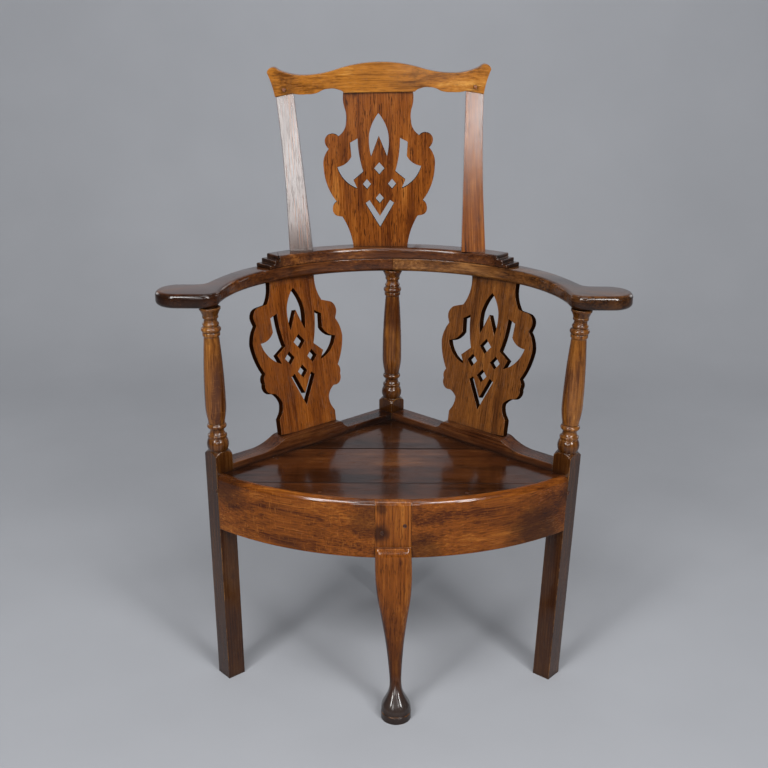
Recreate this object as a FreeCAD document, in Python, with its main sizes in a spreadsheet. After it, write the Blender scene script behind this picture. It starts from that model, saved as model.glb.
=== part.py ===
import FreeCAD, Part
import math
import os
import Sketcher
from types import SimpleNamespace

# Corner armchair with a high back. Millimetres, +Z up, the sitter faces -Y.
# The origin is on the floor, in the middle of the chair's own box.

V = FreeCAD.Vector

# Driving sizes: alias, number, what it is
SIZES = (
    ("seat_top", 433, "height of the seat boards above the floor"),
    ("rail_depth", 109, "height of the four seat rails"),
    ("rail_thickness", 36, "thickness of the seat rails and of the shoes"),
    ("rail_rounding", 11, "radius worked on the top edge of the bowed rails"),
    ("side_post_lead", 72, "side posts stand this far in front of the origin"),
    ("side_post_span", 320, "side post axis to the middle, at seat height"),
    ("rear_post_reach", 290, "rear post behind the side posts"),
    ("bow_reach", 137, "front of the bowed rails ahead of the side posts"),
    ("post_side", 36, "side of the square part of a post"),
    ("left_splay", 0.85, "outward lean of the post to the sitter's right, degrees"),
    ("right_splay", 1.9, "outward lean of the post to the sitter's left, degrees"),
    ("side_post_turn", 41, "turn of the side posts' faces, degrees"),
    ("rear_post_turn", 45, "turn of the rear post's faces, degrees"),
    ("block_rise", 40, "square part of a post above the seat"),
    ("shoulder_drop", 14, "height of the turned-off corners of a post"),
    ("bulb_radius", 19.6, "lower bulb of a turned column"),
    ("cap_radius", 19, "cap of a turned column"),
    ("ring_radius", 18, "rings of a turned column"),
    ("neck_radius", 12.5, "necks of a turned column"),
    ("shaft_radius", 19.2, "thickest place of a turned column"),
    ("column_tenon_radius", 9, "round tenon of a column in the arm"),
    ("arm_underside", 744, "height of the underside of the arms"),
    ("arm_thickness", 26, "thickness of the arms"),
    ("arm_width", 42, "width of the arms behind the pads"),
    ("arm_outset", 18.325, "arms' middle line outside the side posts' axes"),
    ("arm_setback", 2, "arms' middle line behind the rear post's axis"),
    ("arm_edge", 8, "rounding of the arms' edges"),
    ("seam_edge", 0.8, "the same under the block, where the seam hardly shows"),
    ("arm_turn_lead", 3.6, "where the arms' inner edge tightens, past the end of the block, degrees"),
    ("arm_turn_inset", 12, "inner edge of an arm at its front corner, inside the post's axis"),
    ("arm_turn_back", 5, "start of that corner behind the side posts"),
    ("pad_hollow", 18, "hollow corner between the back of a pad and the arm"),
    ("pad_run", 23.7, "straight back edge of a pad"),
    ("pad_front", 20, "front edge of an arm pad ahead of the side posts"),
    ("pad_back", 63, "back edge of an arm pad behind the side posts"),
    ("crest_height", 22, "height of the block on the arms"),
    ("crest_right_angle", 42.4, "end of the block on the arms to the sitter's left, degrees"),
    ("crest_left_angle", 46.4, "end of the block to the sitter's right, degrees"),
    ("crest_step", 2, "angle of one step of its moulded ends, degrees"),
    ("crest_rounding", 6.5, "radius worked along its front top edge"),
    ("back_height", 351.5, "top of the high back above the block"),
    ("stile_shift", 11, "feet of the stiles to the sitter's right"),
    ("stile_lean", 3.1, "lean of the stiles to that side, degrees"),
    ("splat_shift", 24.5, "foot of the upper splat to the sitter's right"),
    ("rail_shift", 22, "line of the top rail to that side, carried down to the block"),
    ("rail_lean", 1.2, "lean of the upper splat and tilt of the top rail, degrees"),
    ("stile_rake", 6.5, "backward rake of the stiles, degrees"),
    ("splat_rake", 2, "backward rake of the upper splat, degrees"),
    ("stile_thickness", 22, "front to back size of a stile"),
    ("stile_foot_width", 47, "width of a stile at its foot"),
    ("stile_head_width", 34, "width of a stile at the top rail"),
    ("stile_span", 190, "outer edge of a stile's foot from the middle of the back"),
    ("stile_flare", 8, "spread of a stile from its foot to its head"),
    ("ear_overhang", 20, "tip of the top rail beyond the foot of the stile"),
    ("top_rail_height", 55, "top rail at the middle"),
    ("top_rail_radius", 900, "curve of the top rail in plan"),
    ("top_rail_thickness", 24, "thickness of the top rail"),
    ("splat_thickness", 13.5, "thickness of the three splats"),
    ("splat_lean", 16.7, "outward lean of the lower splats, degrees"),
    ("splat_tilt", 5.6, "tilt of the lower splats to the rear post, degrees"),
    ("splat_set", 7, "foot of a lower splat off the middle of its rail"),
    ("splat_start", 22, "height of the lower splats' datum above the seat"),
    ("upper_foot_half", 53.5, "half width of the upper splat's foot"),
    ("upper_head_half", 66.5, "half width of the upper splat's head"),
    ("upper_bulge_half", 108, "half width of the upper splat's bulge"),
    ("lower_foot_half", 67.5, "half width of a lower splat's foot"),
    ("lower_head_half", 58.5, "half width of a lower splat's head"),
    ("lower_bulge_half", 108, "half width of a lower splat's bulge"),
    ("upper_pierce", 152, "height of the pierced pattern in the upper splat"),
    ("left_pierce", 176, "height of the pattern in the splat to the sitter's right"),
    ("right_pierce", 168, "height of the pattern in the splat to the sitter's left"),
    ("upper_dart", 115, "depth of the dart below the pattern's middle, upper splat"),
    ("lower_dart", 124, "the same depth in the lower splats"),
    ("lower_spread", 1.1, "widening of the pattern in the lower splats"),
    ("lower_growth", 3, "added to each half of the diamonds in the lower splats"),
    ("upper_drawn", 296.5, "room above the block that the upper splat's heights suit"),
    ("lower_drawn", 303.2, "room under the arms that the lower splats' heights suit"),
    ("shoe_low", 13, "height of a shoe at its ends"),
    ("shoe_high", 30, "height of a shoe under its splat"),
    ("shoe_front_flat", 71, "raised part of a shoe towards the side post"),
    ("shoe_front_fall", 62, "its curved fall on that side"),
    ("shoe_rear_flat", 58, "raised part of a shoe towards the rear post"),
    ("shoe_rear_fall", 30, "its curved fall on that side"),
    ("board_thickness", 16, "thickness of the seat boards"),
    ("board_rim", 12, "rail left outside the front seat board"),
    ("rear_joint", 104, "joint behind the middle board, from the side posts"),
    ("front_joint", 58, "joint ahead of the middle board, from the side posts"),
    ("cleat_side", 20, "side of the cleats under the boards"),
    ("leg_block_half", 32, "half width of the front leg's block"),
    ("leg_block_drop", 88, "height of the front leg's block"),
    ("knee_step", 12, "knee of the front leg ahead of the rails"),
    ("foot_reach", 144, "front foot ahead of the side posts"),
    ("foot_drift", 8, "front foot off the middle, to the sitter's left"),
    ("foot_radius", 27.5, "disc under the front foot"),
    ("foot_disc", 13, "height of that disc"),
    ("ankle_radius", 11.5, "front leg at its thinnest"),
    ("tenon_thickness", 11, "thickness of the rails' tenons"),
    ("tenon_height", 64, "height of the rails' tenons"),
    ("tenon_depth", 11, "depth of the rails' tenons in the posts"),
    ("tongue_depth", 12, "depth of the splats' and stiles' tongues"),
    ("peg_radius", 3.5, "oak pegs"),
    ("peg_proud", 0.4, "pegs stand this far out of the wood"),
    ("dowel_radius", 5, "dowels between the arms and the block on them"),
    ("fit", 0.25, "clearance round a tenon, peg or board"),
    ("board_gap", 0.6, "gap between two boards of the seat"),
)


class Size:
    """A number that also knows the sheet expression it comes from."""

    def __init__(self, value, text=None):
        self.value = float(value)
        self.text = text or repr(self.value)

    def joined(self, other, sign, value):
        return Size(value, "(%s %s %s)" % (self.text, sign, other.text))

    def __add__(self, other):
        other = size(other)
        return self.joined(other, "+", self.value + other.value)

    def __radd__(self, other):
        return size(other) + self

    def __sub__(self, other):
        other = size(other)
        return self.joined(other, "-", self.value - other.value)

    def __rsub__(self, other):
        return size(other) - self

    def __mul__(self, other):
        other = size(other)
        return self.joined(other, "*", self.value * other.value)

    def __rmul__(self, other):
        return size(other) * self

    def __truediv__(self, other):
        other = size(other)
        return self.joined(other, "/", self.value / other.value)

    def __neg__(self):
        return Size(-self.value, "(-1 * %s)" % self.text)


def size(number):
    return number if isinstance(number, Size) else Size(number)


def root(number):
    return Size(math.sqrt(number.value), "sqrt(%s)" % number.text)


def sine(angle):
    return Size(math.sin(math.radians(angle.value)), "sin(%s)" % angle.text)


def cosine(angle):
    return Size(math.cos(math.radians(angle.value)), "cos(%s)" % angle.text)


def tangent(angle):
    return sine(angle) / cosine(angle)


# Document, sheet and the sizes read back from it
doc = FreeCAD.newDocument("corner_chair")
sheet = doc.addObject("Spreadsheet::Sheet", "Sizes")
for row, (alias, number, meaning) in enumerate(SIZES, 1):
    sheet.set("A%d" % row, meaning)
    sheet.set("B%d" % row, str(number))
    sheet.setAlias("B%d" % row, alias)
doc.recompute()
S = SimpleNamespace(**{alias: Size(sheet.get(alias), "Sizes." + alias) for alias, _, _ in SIZES})

# Places in plan
side_y = -S.side_post_lead
rear_y = side_y + S.rear_post_reach
front_y = side_y - S.bow_reach
rail_bottom = S.seat_top - S.rail_depth
block_top = S.seat_top + S.block_rise
arm_top = S.arm_underside + S.arm_thickness
crest_top = arm_top + S.crest_height

# The arms' middle line: one circle past both side posts and the rear post
arm_half_span = S.side_post_span + S.arm_outset
arm_reach = S.rear_post_reach + S.arm_setback
arm_radius = (arm_half_span * arm_half_span / arm_reach + arm_reach) / 2
arc_y = side_y + arm_reach - arm_radius
arm_outer = arm_radius + S.arm_width / 2
arm_inner = arm_radius - S.arm_width / 2
half_diagonal = S.post_side * math.sqrt(0.5)

# The bowed rails: one circle through both side posts' near arrises and the front
bow_sagitta = S.bow_reach - half_diagonal
bow_radius = (S.side_post_span * S.side_post_span + bow_sagitta * bow_sagitta) / (2 * bow_sagitta)
bow_y = front_y + bow_radius

# The straight rear rails run between the posts' axes
rail_run = root(S.side_post_span * S.side_post_span + S.rear_post_reach * S.rear_post_reach)
rail_slope = math.degrees(math.atan2(S.rear_post_reach.value, S.side_post_span.value))


def bind(thing, path, number):
    """Set one property of an object from the sheet."""
    thing.setExpression(path, number.text)


def turned(axis, degrees):
    return FreeCAD.Rotation(axis, degrees)


def placed(x, y, z, rotation=FreeCAD.Rotation()):
    values = [size(number).value for number in (x, y, z)]
    return FreeCAD.Placement(V(*values), rotation)


def new_body(name, placement=None):
    body = doc.addObject("PartDesign::Body", name)
    if placement:
        body.Placement = placement
    return body


def origin_feature(body, role):
    return [item for item in body.Origin.OriginFeatures if item.Role == role][0]


def new_sketch(body, plane, name, offset=None):
    """A sketch on one of the body's own planes, moved along its normal."""
    sketch = body.newObject("Sketcher::SketchObject", name)
    sketch.AttachmentSupport = [(origin_feature(body, plane), "")]
    sketch.MapMode = "FlatFace"
    if offset is not None:
        bind(sketch, "AttachmentOffset.Base.z", offset)
    return sketch


def arc_edge(start, end, radius):
    """The short arc between two points; a negative radius bends to the right."""
    chord = end - start
    left = V(-chord.y, chord.x, 0).normalize()
    height = math.sqrt(max(radius * radius - chord.Length ** 2 / 4, 0))
    centre = (start + end) * 0.5 + left * math.copysign(height, radius)
    first, last = (start, end) if radius > 0 else (end, start)
    begin = math.atan2(first.y - centre.y, first.x - centre.x)
    finish = math.atan2(last.y - centre.y, last.x - centre.x)
    if finish < begin:
        finish += 2 * math.pi
    circle = Part.Circle(centre, V(0, 0, 1), abs(radius))
    return Part.ArcOfCircle(circle, begin, finish)


def draw(sketch, outline, mirror=1):
    """Add one closed outline of (x, y) or (x, y, radius of the edge that leaves the point)."""
    corners = []
    for corner in outline:
        x, y = size(corner[0]) * mirror, size(corner[1])
        radius = size(corner[2]) * mirror if len(corner) > 2 else None
        corners.append((x, y, radius))
    first = sketch.GeometryCount
    edges = []
    tails = []
    heads = []
    for index, (x, y, radius) in enumerate(corners):
        start = V(x.value, y.value, 0)
        following = corners[(index + 1) % len(corners)]
        end = V(following[0].value, following[1].value, 0)
        number = first + index
        if radius is None:
            edges.append(Part.LineSegment(start, end))
        else:
            edges.append(arc_edge(start, end, radius.value))
        forward = radius is None or radius.value > 0
        tails.append((number, 1 if forward else 2))
        heads.append((number, 2 if forward else 1))
    sketch.addGeometry(edges, False)
    rules = []
    bound = []
    for index, (x, y, radius) in enumerate(corners):
        before = heads[index - 1]
        rules.append(Sketcher.Constraint("Coincident", *before, *tails[index]))
        for kind, axis, distance in (("DistanceX", -2, x), ("DistanceY", -1, y)):
            if distance.value == 0:
                rules.append(Sketcher.Constraint("PointOnObject", *tails[index], axis))
            else:
                bound.append((len(rules), distance))
                rules.append(Sketcher.Constraint(kind, -1, 1, *tails[index], distance.value))
        if radius is not None:
            reach = radius if radius.value > 0 else -radius
            bound.append((len(rules), reach))
            rules.append(Sketcher.Constraint("Radius", first + index, reach.value))
    offset = sketch.ConstraintCount
    sketch.addConstraint(rules)
    for index, distance in bound:
        sketch.setExpression("Constraints[%d]" % (offset + index), distance.text)


def pad(body, sketch, length, name, reverse=False):
    feature = body.newObject("PartDesign::Pad", name)
    feature.Profile = sketch
    feature.Reversed = reverse
    bind(feature, "Length", length)
    return feature


def pocket(body, sketch, length, name, reverse=False):
    """A pocket, which has to take something away."""
    doc.recompute()
    before = body.Shape.Volume
    feature = body.newObject("PartDesign::Pocket", name)
    feature.Profile = sketch
    feature.Reversed = reverse
    bind(feature, "Length", length)
    doc.recompute()
    if not body.Shape.Volume < before - 1:
        raise RuntimeError(name + " cuts nothing")
    return feature


def revolve(body, sketch, name, kind="PartDesign::Revolution"):
    feature = body.newObject(kind, name)
    feature.Profile = sketch
    feature.ReferenceAxis = (sketch, ["V_Axis"])
    feature.Angle = 360
    return feature


def rounded(body, radius, name, wanted):
    """Round the edges of the body so far that the test picks."""
    doc.recompute()
    tip = body.Tip
    picked = ["Edge%d" % (i + 1) for i, edge in enumerate(tip.Shape.Edges) if wanted(edge)]
    feature = body.newObject("PartDesign::Fillet", name)
    feature.Base = (tip, picked)
    bind(feature, "Radius", radius)
    return feature


def box(name, placement, length, width, height):
    """A block whose middle is at the placement."""
    block = doc.addObject("Part::Box", name)
    bind(block, "Length", size(length))
    bind(block, "Width", size(width))
    bind(block, "Height", size(height))
    middle = V(size(length).value / 2, size(width).value / 2, size(height).value / 2)
    block.Placement = placement.multiply(FreeCAD.Placement(-middle, FreeCAD.Rotation()))
    return block


def rod(name, placement, radius, length):
    """A cylinder that starts at the placement and runs along its Z."""
    cylinder = doc.addObject("Part::Cylinder", name)
    bind(cylinder, "Radius", size(radius))
    bind(cylinder, "Height", size(length))
    cylinder.Placement = placement
    return cylinder


def fuse(name, pieces):
    union = doc.addObject("Part::MultiFuse", name)
    union.Shapes = pieces
    return union


def common(name, pieces):
    shared = doc.addObject("Part::MultiCommon", name)
    shared.Shapes = pieces
    return shared


def cut(name, base, tools):
    """The base less all the tools."""
    tool = tools[0] if len(tools) == 1 else fuse(name + "_cutters", tools)
    remainder = doc.addObject("Part::Cut", name)
    remainder.Base = base
    remainder.Tool = tool
    return remainder


def group(name, pieces):
    compound = doc.addObject("Part::Compound", name)
    compound.Links = pieces
    return compound


NODES = []


def keep(thing, label):
    """Make an object one of the chair's pieces."""
    thing.Label = label
    NODES.append(thing)
    return thing


SIDES = (("left", -1), ("right", 1))


# Tenons and mortises: one bar for the tenon, the same bar with clearance for the mortise
def tenon_pair(name, placement, length, width, height):
    tenon = box(name + "_tenon", placement, length, width, height)
    room = 2 * S.fit
    mortise = box(name + "_mortise", placement, length + room, width + room, height + room)
    return tenon, mortise


def peg_pair(name, placement, length, radius=None):
    radius = radius or S.peg_radius
    peg = rod(name + "_peg", placement, radius, length)
    hole = rod(name + "_hole", placement, radius + S.fit / 2, length + S.fit)
    return peg, hole


# Turned posts
def column_outline(top):
    """Half outline of the turned part, from inside the block to the tenon's end."""
    low = block_top
    neck = S.neck_radius
    ring = S.ring_radius
    foot_radius = ring - 2.6
    head_radius = neck + 1.2
    foot = low + 58
    belly = low + 90
    head = top - 54
    lower_swell = S.shaft_radius - foot_radius
    upper_swell = S.shaft_radius - head_radius
    lower_arc = ((belly - foot) * (belly - foot) + lower_swell * lower_swell) / (2 * lower_swell)
    upper_arc = ((head - belly) * (head - belly) + upper_swell * upper_swell) / (2 * upper_swell)
    return (
        (0, low - 8),
        (S.bulb_radius - 2.6, low - 8),
        (S.bulb_radius - 2.6, low + 1, 23),
        (S.bulb_radius - 3, low + 25),
        (ring - 0.4, low + 27),
        (ring - 0.4, low + 31, -9),
        (neck + 0.5, low + 38),
        (neck + 0.5, low + 41),
        (ring - 4, low + 43, 5.2),
        (ring - 4, low + 53),
        (foot_radius, low + 55),
        (foot_radius, foot, lower_arc),
        (S.shaft_radius, belly, upper_arc),
        (head_radius, head),
        (ring - 2.2, head + 3),
        (ring - 2.2, head + 8),
        (ring - 3.4, head + 9, 5.4),
        (ring - 3.6, head + 19),
        (ring - 4.8, head + 20, 4.6),
        (ring - 4.8, head + 27),
        (neck - 0.5, head + 29),
        (neck - 0.5, head + 33),
        (neck + 1.7, head + 35),
        (neck + 1.7, head + 38.5),
        (neck + 1.2, head + 39, -60),
        (S.cap_radius - 0.4, top - 4),
        (S.cap_radius, top - 3.5),
        (S.cap_radius, top),
        (S.column_tenon_radius, top),
        (S.column_tenon_radius, top + 18),
        (0, top + 18),
    )


def post_blank(name, placement, top):
    """A square leg and a turned column in one piece, drawn upright on its own axis."""
    body = new_body(name, placement)
    trim = size(4)
    half = S.post_side / 2
    square = new_sketch(body, "XY_Plane", name + "_square", -trim)
    draw(square, ((-half, -half), (half, -half), (half, half), (-half, half)))
    pad(body, square, block_top + trim, name + "_leg")
    turning = new_sketch(body, "XZ_Plane", name + "_turning")
    draw(turning, column_outline(top))
    revolve(body, turning, name + "_column")
    doc.recompute()
    shoulder = new_sketch(body, "XZ_Plane", name + "_shoulder")
    outside = half_diagonal + 4
    draw(shoulder, (
        (S.bulb_radius - 1, block_top + 1),
        (S.bulb_radius - 1, block_top, -30),
        (outside, block_top - S.shoulder_drop),
        (outside, block_top + 1),
    ))
    revolve(body, shoulder, name + "_lamb_tongue", "PartDesign::Groove")
    return body


column_top = S.arm_underside - 0.5
splay = {"left": S.left_splay, "right": S.right_splay}
posts = {}
for side, sign in SIDES:
    post_foot = S.side_post_span - tangent(splay[side]) * S.seat_top
    lean = turned(V(0, 1, 0), sign * splay[side].value)
    face = turned(V(0, 0, 1), sign * -S.side_post_turn.value)
    place = placed(sign * post_foot, side_y, 0, lean.multiply(face))
    posts[side] = post_blank(side + "_post_blank", place, column_top)
rear_place = placed(0, rear_y, 0, turned(V(0, 0, 1), S.rear_post_turn.value))
posts["rear"] = post_blank("rear_post_blank", rear_place, S.arm_underside)
below_floor = box("below_floor", placed(0, 0, -20), 1200, 1200, 40)


def shoulder(name, post, across_x):
    """Everything between a post's two faces, carried on sideways as the shoulder line."""
    wide = 160
    length, width = (S.post_side, wide) if across_x else (wide, S.post_side)
    return box(name, posts[post].Placement.multiply(placed(0, 0, S.seat_top)), length, width, 500)


# Frames along the rear rails: X along the rail to the rear post, Y to the outside
rail_middle = {}
for side, sign in SIDES:
    along = turned(V(0, 0, 1), rail_slope if sign < 0 else 180 - rail_slope)
    rail_middle[side] = (sign, along)


def rail_frame(side, z, shift=0.0):
    """Placement at the middle of a rear rail, moved along it."""
    sign, along = rail_middle[side]
    middle = V(sign * S.side_post_span.value / 2, (side_y + S.rear_post_reach / 2).value, size(z).value)
    return FreeCAD.Placement(middle + along.multVec(V(shift, 0, 0)), along)


def outward(side):
    """+1 where the frame's own Y points out of the chair."""
    return 1 if side == "left" else -1


# Rear rails
rail_height_middle = S.seat_top - S.rail_depth / 2
mortises = {"left": [], "right": [], "rear": [], "front": []}
pegs = {"left": [], "right": [], "rear": [], "front": []}
rear_rail_ends = {}
for side, sign in SIDES:
    frame = rail_frame(side, rail_height_middle)
    blank = box(side + "_rear_rail_bar", frame, rail_run, S.rail_thickness, S.rail_depth)
    ends = [shoulder(side + "_rail_end", side, True), shoulder(side + "_rail_rear_end", "rear", sign < 0)]
    rear_rail_ends[side] = ends
    shoulders = cut(side + "_rear_rail_shouldered", blank, ends)
    tenon_length = rail_run - S.post_side + 2 * S.tenon_depth
    tenon, mortise = tenon_pair(side + "_rear_rail", frame, tenon_length, S.tenon_thickness, S.tenon_height)
    mortises[side].append(mortise)
    mortises["rear"].append(mortise)
    holes = []
    for end, post, height in ((-1, side, -18), (1, "rear", 18 * sign)):
        station = end * (rail_run.value / 2 - S.post_side.value / 2 + 5)
        across = turned(V(1, 0, 0), 90 * outward(side))
        spot = frame.multiply(FreeCAD.Placement(
            V(station, outward(side) * (S.post_side / 2 + S.peg_proud).value, height), across))
        length = S.post_side / 2 + S.tenon_thickness
        peg, hole = peg_pair("%s_rear_rail_%s" % (side, post), spot, length)
        pegs[post].append(peg)
        mortises[post].append(hole)
        holes.append(hole)
    solid = fuse(side + "_rear_rail_solid", [shoulders, tenon])
    keep(cut(side + "_rear_rail", solid, holes), "rear_rail_" + side)

# Bowed front rails
field_radius = bow_radius - S.board_rim
rebate = rod("board_rebate", placed(0, bow_y, S.seat_top - S.board_thickness), field_radius + S.fit, 60)


def bow_drop(x, radius):
    """Y of a circle about the bow's centre, at a distance from the middle."""
    return bow_y - root(radius * radius - x * x)


bow_inner = bow_radius - S.rail_thickness
post_end_x = S.side_post_span + 4
front_tangent = math.degrees(math.asin(S.side_post_span.value / bow_radius.value))
for side, sign in SIDES:
    body = new_body(side + "_front_rail_blank")
    plan = new_sketch(body, "XY_Plane", side + "_front_rail_plan", rail_bottom)
    inner_end = post_end_x * bow_inner / bow_radius
    draw(plan, (
        (S.leg_block_half, bow_drop(S.leg_block_half, bow_radius), bow_radius),
        (post_end_x, bow_drop(post_end_x, bow_radius)),
        (inner_end, bow_drop(inner_end, bow_inner), -bow_inner),
        (S.leg_block_half, bow_drop(S.leg_block_half, bow_inner)),
    ), sign)
    pad(body, plan, S.rail_depth, side + "_front_rail_bar")

    def on_top_outer_edge(edge):
        middle = edge.valueAt((edge.FirstParameter + edge.LastParameter) / 2)
        from_centre = math.hypot(middle.x, middle.y - bow_y.value)
        at_top = abs(middle.z - S.seat_top.value) < 0.01
        return at_top and abs(from_centre - bow_radius.value) < 0.01

    rounded(body, S.rail_rounding, side + "_front_rail_edge", on_top_outer_edge)
    end = shoulder(side + "_front_rail_end", side, False)
    shouldered = cut(side + "_front_rail_shouldered", body, [end, rebate])
    # Tenon into the side post, along the tangent of the bow
    aim = turned(V(0, 0, 1), sign * front_tangent)
    middle_radius = bow_radius - S.rail_thickness / 2
    end_x = sign * S.side_post_span * middle_radius / bow_radius
    end_y = bow_drop(S.side_post_span * middle_radius / bow_radius, middle_radius)
    end_frame = placed(end_x, end_y, rail_height_middle, aim)
    post_tenon, post_mortise = tenon_pair(side + "_front_rail_post", end_frame, 2 * S.tenon_depth,
                                          S.tenon_thickness, S.tenon_height)
    tenon_y = front_y + S.rail_thickness / 2
    leg_frame = placed(sign * (S.leg_block_half + 2), tenon_y, rail_height_middle)
    leg_tenon, leg_mortise = tenon_pair(side + "_front_rail_leg", leg_frame, 40,
                                        S.tenon_thickness, S.tenon_height)
    mortises[side].append(post_mortise)
    mortises["front"].append(leg_mortise)
    # Pegs: one through the leg's block, one through the side post
    leg_peg_z = rail_height_middle + 1 + 7 * sign
    into_block = placed(sign * (S.leg_block_half - 12), front_y - S.peg_proud, leg_peg_z,
                        turned(V(1, 0, 0), -90))
    leg_peg, leg_hole = peg_pair(side + "_front_leg", into_block, S.rail_thickness / 2 + S.tenon_thickness)
    pegs["front"].append(leg_peg)
    across = aim.multiply(turned(V(1, 0, 0), -90))
    start = aim.multVec(V(sign * 4, -(S.rail_thickness / 2 + S.peg_proud).value, 20))
    into_post = FreeCAD.Placement(end_frame.Base + start, across)
    post_peg, post_hole = peg_pair(side + "_front_post", into_post, S.post_side / 2 + S.tenon_thickness)
    pegs[side].append(post_peg)
    mortises["front"].append(leg_hole)
    mortises[side].append(post_hole)
    solid = fuse(side + "_front_rail_solid", [shouldered, post_tenon, leg_tenon])
    keep(cut(side + "_front_rail", solid, [leg_hole, post_hole]), "front_rail_" + side)


# Front leg: square block between the rails, cabriole below it, pad foot on a disc
ledge = S.seat_top - S.leg_block_drop
cabriole = ledge - S.foot_disc
knee = -S.knee_step
foot_centre = S.bow_reach - S.foot_reach
# Share of the cabriole's height, half width, front and back from the rails' face, corner
LEG_STATIONS = (
    (0.00, S.foot_radius - 2.5, foot_centre - S.foot_radius + 3, foot_centre + S.foot_radius - 1, 22),
    (0.05, S.foot_radius - 3.5, foot_centre - S.foot_radius + 8, foot_centre + S.foot_radius, 20),
    (0.11, S.ankle_radius + 2, knee - 2, S.ankle_radius + 4, 12),
    (0.20, S.ankle_radius - 0.5, knee + 11, S.ankle_radius + 5.5, 10),
    (0.33, S.ankle_radius + 2.5, knee + 11, S.ankle_radius + 6.5, 11),
    (0.46, S.leg_block_half - 13, knee + 8, S.leg_block_half - 11, 12),
    (0.58, S.leg_block_half - 7.5, knee + 4, S.leg_block_half - 6, 13),
    (0.71, S.leg_block_half - 1.5, knee, S.leg_block_half, 13),
    (0.90, S.leg_block_half + 1, knee, S.leg_block_half + 4, 10),
    (1.00, S.leg_block_half, knee + 6, S.leg_block_half + 2, 6),
)
leg = new_body("front_leg_blank", placed(0, front_y, 0))
sections = []
for number, (share, half, front, back, corner) in enumerate(LEG_STATIONS):
    section = new_sketch(leg, "XY_Plane", "leg_section_%d" % number, S.foot_disc + share * cabriole)
    left = S.foot_drift * (1 - share) - half
    right = S.foot_drift * (1 - share) + half
    draw(section, (
        (left, front + corner, corner),
        (left + corner, front),
        (right - corner, front, corner),
        (right, front + corner),
        (right, back - corner, corner),
        (right - corner, back),
        (left + corner, back, corner),
        (left, back - corner),
    ))
    sections.append(section)
loft = leg.newObject("PartDesign::AdditiveLoft", "leg_cabriole")
loft.Profile = sections[0]
loft.Sections = sections[1:]
disc = new_sketch(leg, "XY_Plane", "foot_disc_plan")
disc_edge = S.foot_radius
draw(disc, (
    (S.foot_drift, foot_centre - disc_edge, disc_edge),
    (S.foot_drift + disc_edge, foot_centre, disc_edge),
    (S.foot_drift, foot_centre + disc_edge, disc_edge),
    (S.foot_drift - disc_edge, foot_centre, disc_edge),
))
pad(leg, disc, S.foot_disc + 0.5, "foot_disc_pad")
top = new_sketch(leg, "XY_Plane", "leg_block_plan", ledge)
block = S.leg_block_half
draw(top, ((-block, 0), (block, 0), (block, block + 6), (-block, block + 6)))
pad(leg, top, S.leg_block_drop, "leg_block")


def block_front_edge(edge):
    middle = edge.CenterOfMass
    return abs(middle.z - S.seat_top.value) < 0.01 and abs(middle.y) < 0.01


rounded(leg, S.rail_rounding, "leg_block_rounding", block_front_edge)
keep(cut("front_leg", leg, mortises["front"] + [rebate]), "front_leg")

# Shoes on the rear rails
def shoe_outline():
    """Side view of a shoe: low ends, curved falls and a flat top under the splat."""
    half = rail_run / 2
    low = S.shoe_low
    high = S.shoe_high
    nose = 11

    def fall(start, length, sign):
        """The end of the flat top, where the fall turns hollow, and its foot, with two radii."""
        slope = (high - low) / length
        bend = (slope * slope + 1) / (slope * 2)
        return start * sign, (start + nose) * sign, (start + length) * sign, bend, high - slope * nose

    rear, rear_turn, rear_foot, rear_bend, rear_height = fall(S.shoe_rear_flat, S.shoe_rear_fall, 1)
    front, front_turn, front_foot, front_bend, front_height = fall(S.shoe_front_flat, S.shoe_front_fall, -1)
    return (
        (-half, 0),
        (half, 0),
        (half, low),
        (rear_foot, low, rear_bend * (nose - S.shoe_rear_fall)),
        (rear_turn, rear_height, rear_bend * nose),
        (rear, high),
        (front, high, front_bend * nose),
        (front_turn, front_height, front_bend * (nose - S.shoe_front_fall)),
        (front_foot, low),
        (-half, low),
    )


def splat_frame(side):
    """Foot of a lower splat on its shoe, leaning outwards and tilted to the rear post."""
    base = rail_frame(side, S.seat_top + S.splat_start, -S.splat_set.value)
    lean = turned(V(1, 0, 0), -outward(side) * S.splat_lean.value)
    tilt = turned(V(0, 1, 0), S.splat_tilt.value)
    return base.multiply(FreeCAD.Placement(V(), lean.multiply(tilt)))


splat_feet = {}
tongue_half = S.lower_head_half - 12
for side, sign in SIDES:
    frame = rail_frame(side, S.seat_top)
    body = new_body(side + "_shoe_blank", frame)
    view = new_sketch(body, "XZ_Plane", side + "_shoe_view", -S.rail_thickness / 2)
    draw(view, shoe_outline())
    pad(body, view, S.rail_thickness, side + "_shoe_bar")

    into_shoe = splat_frame(side).multiply(placed(0, 0, S.shoe_high - S.splat_start))
    foot, slot = tenon_pair(side + "_splat_foot", into_shoe, 2 * tongue_half, S.splat_thickness - 3,
                            2 * S.tongue_depth)
    splat_feet[side] = foot
    keep(cut(side + "_shoe", body, rear_rail_ends[side] + [slot]), "shoe_" + side)

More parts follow.
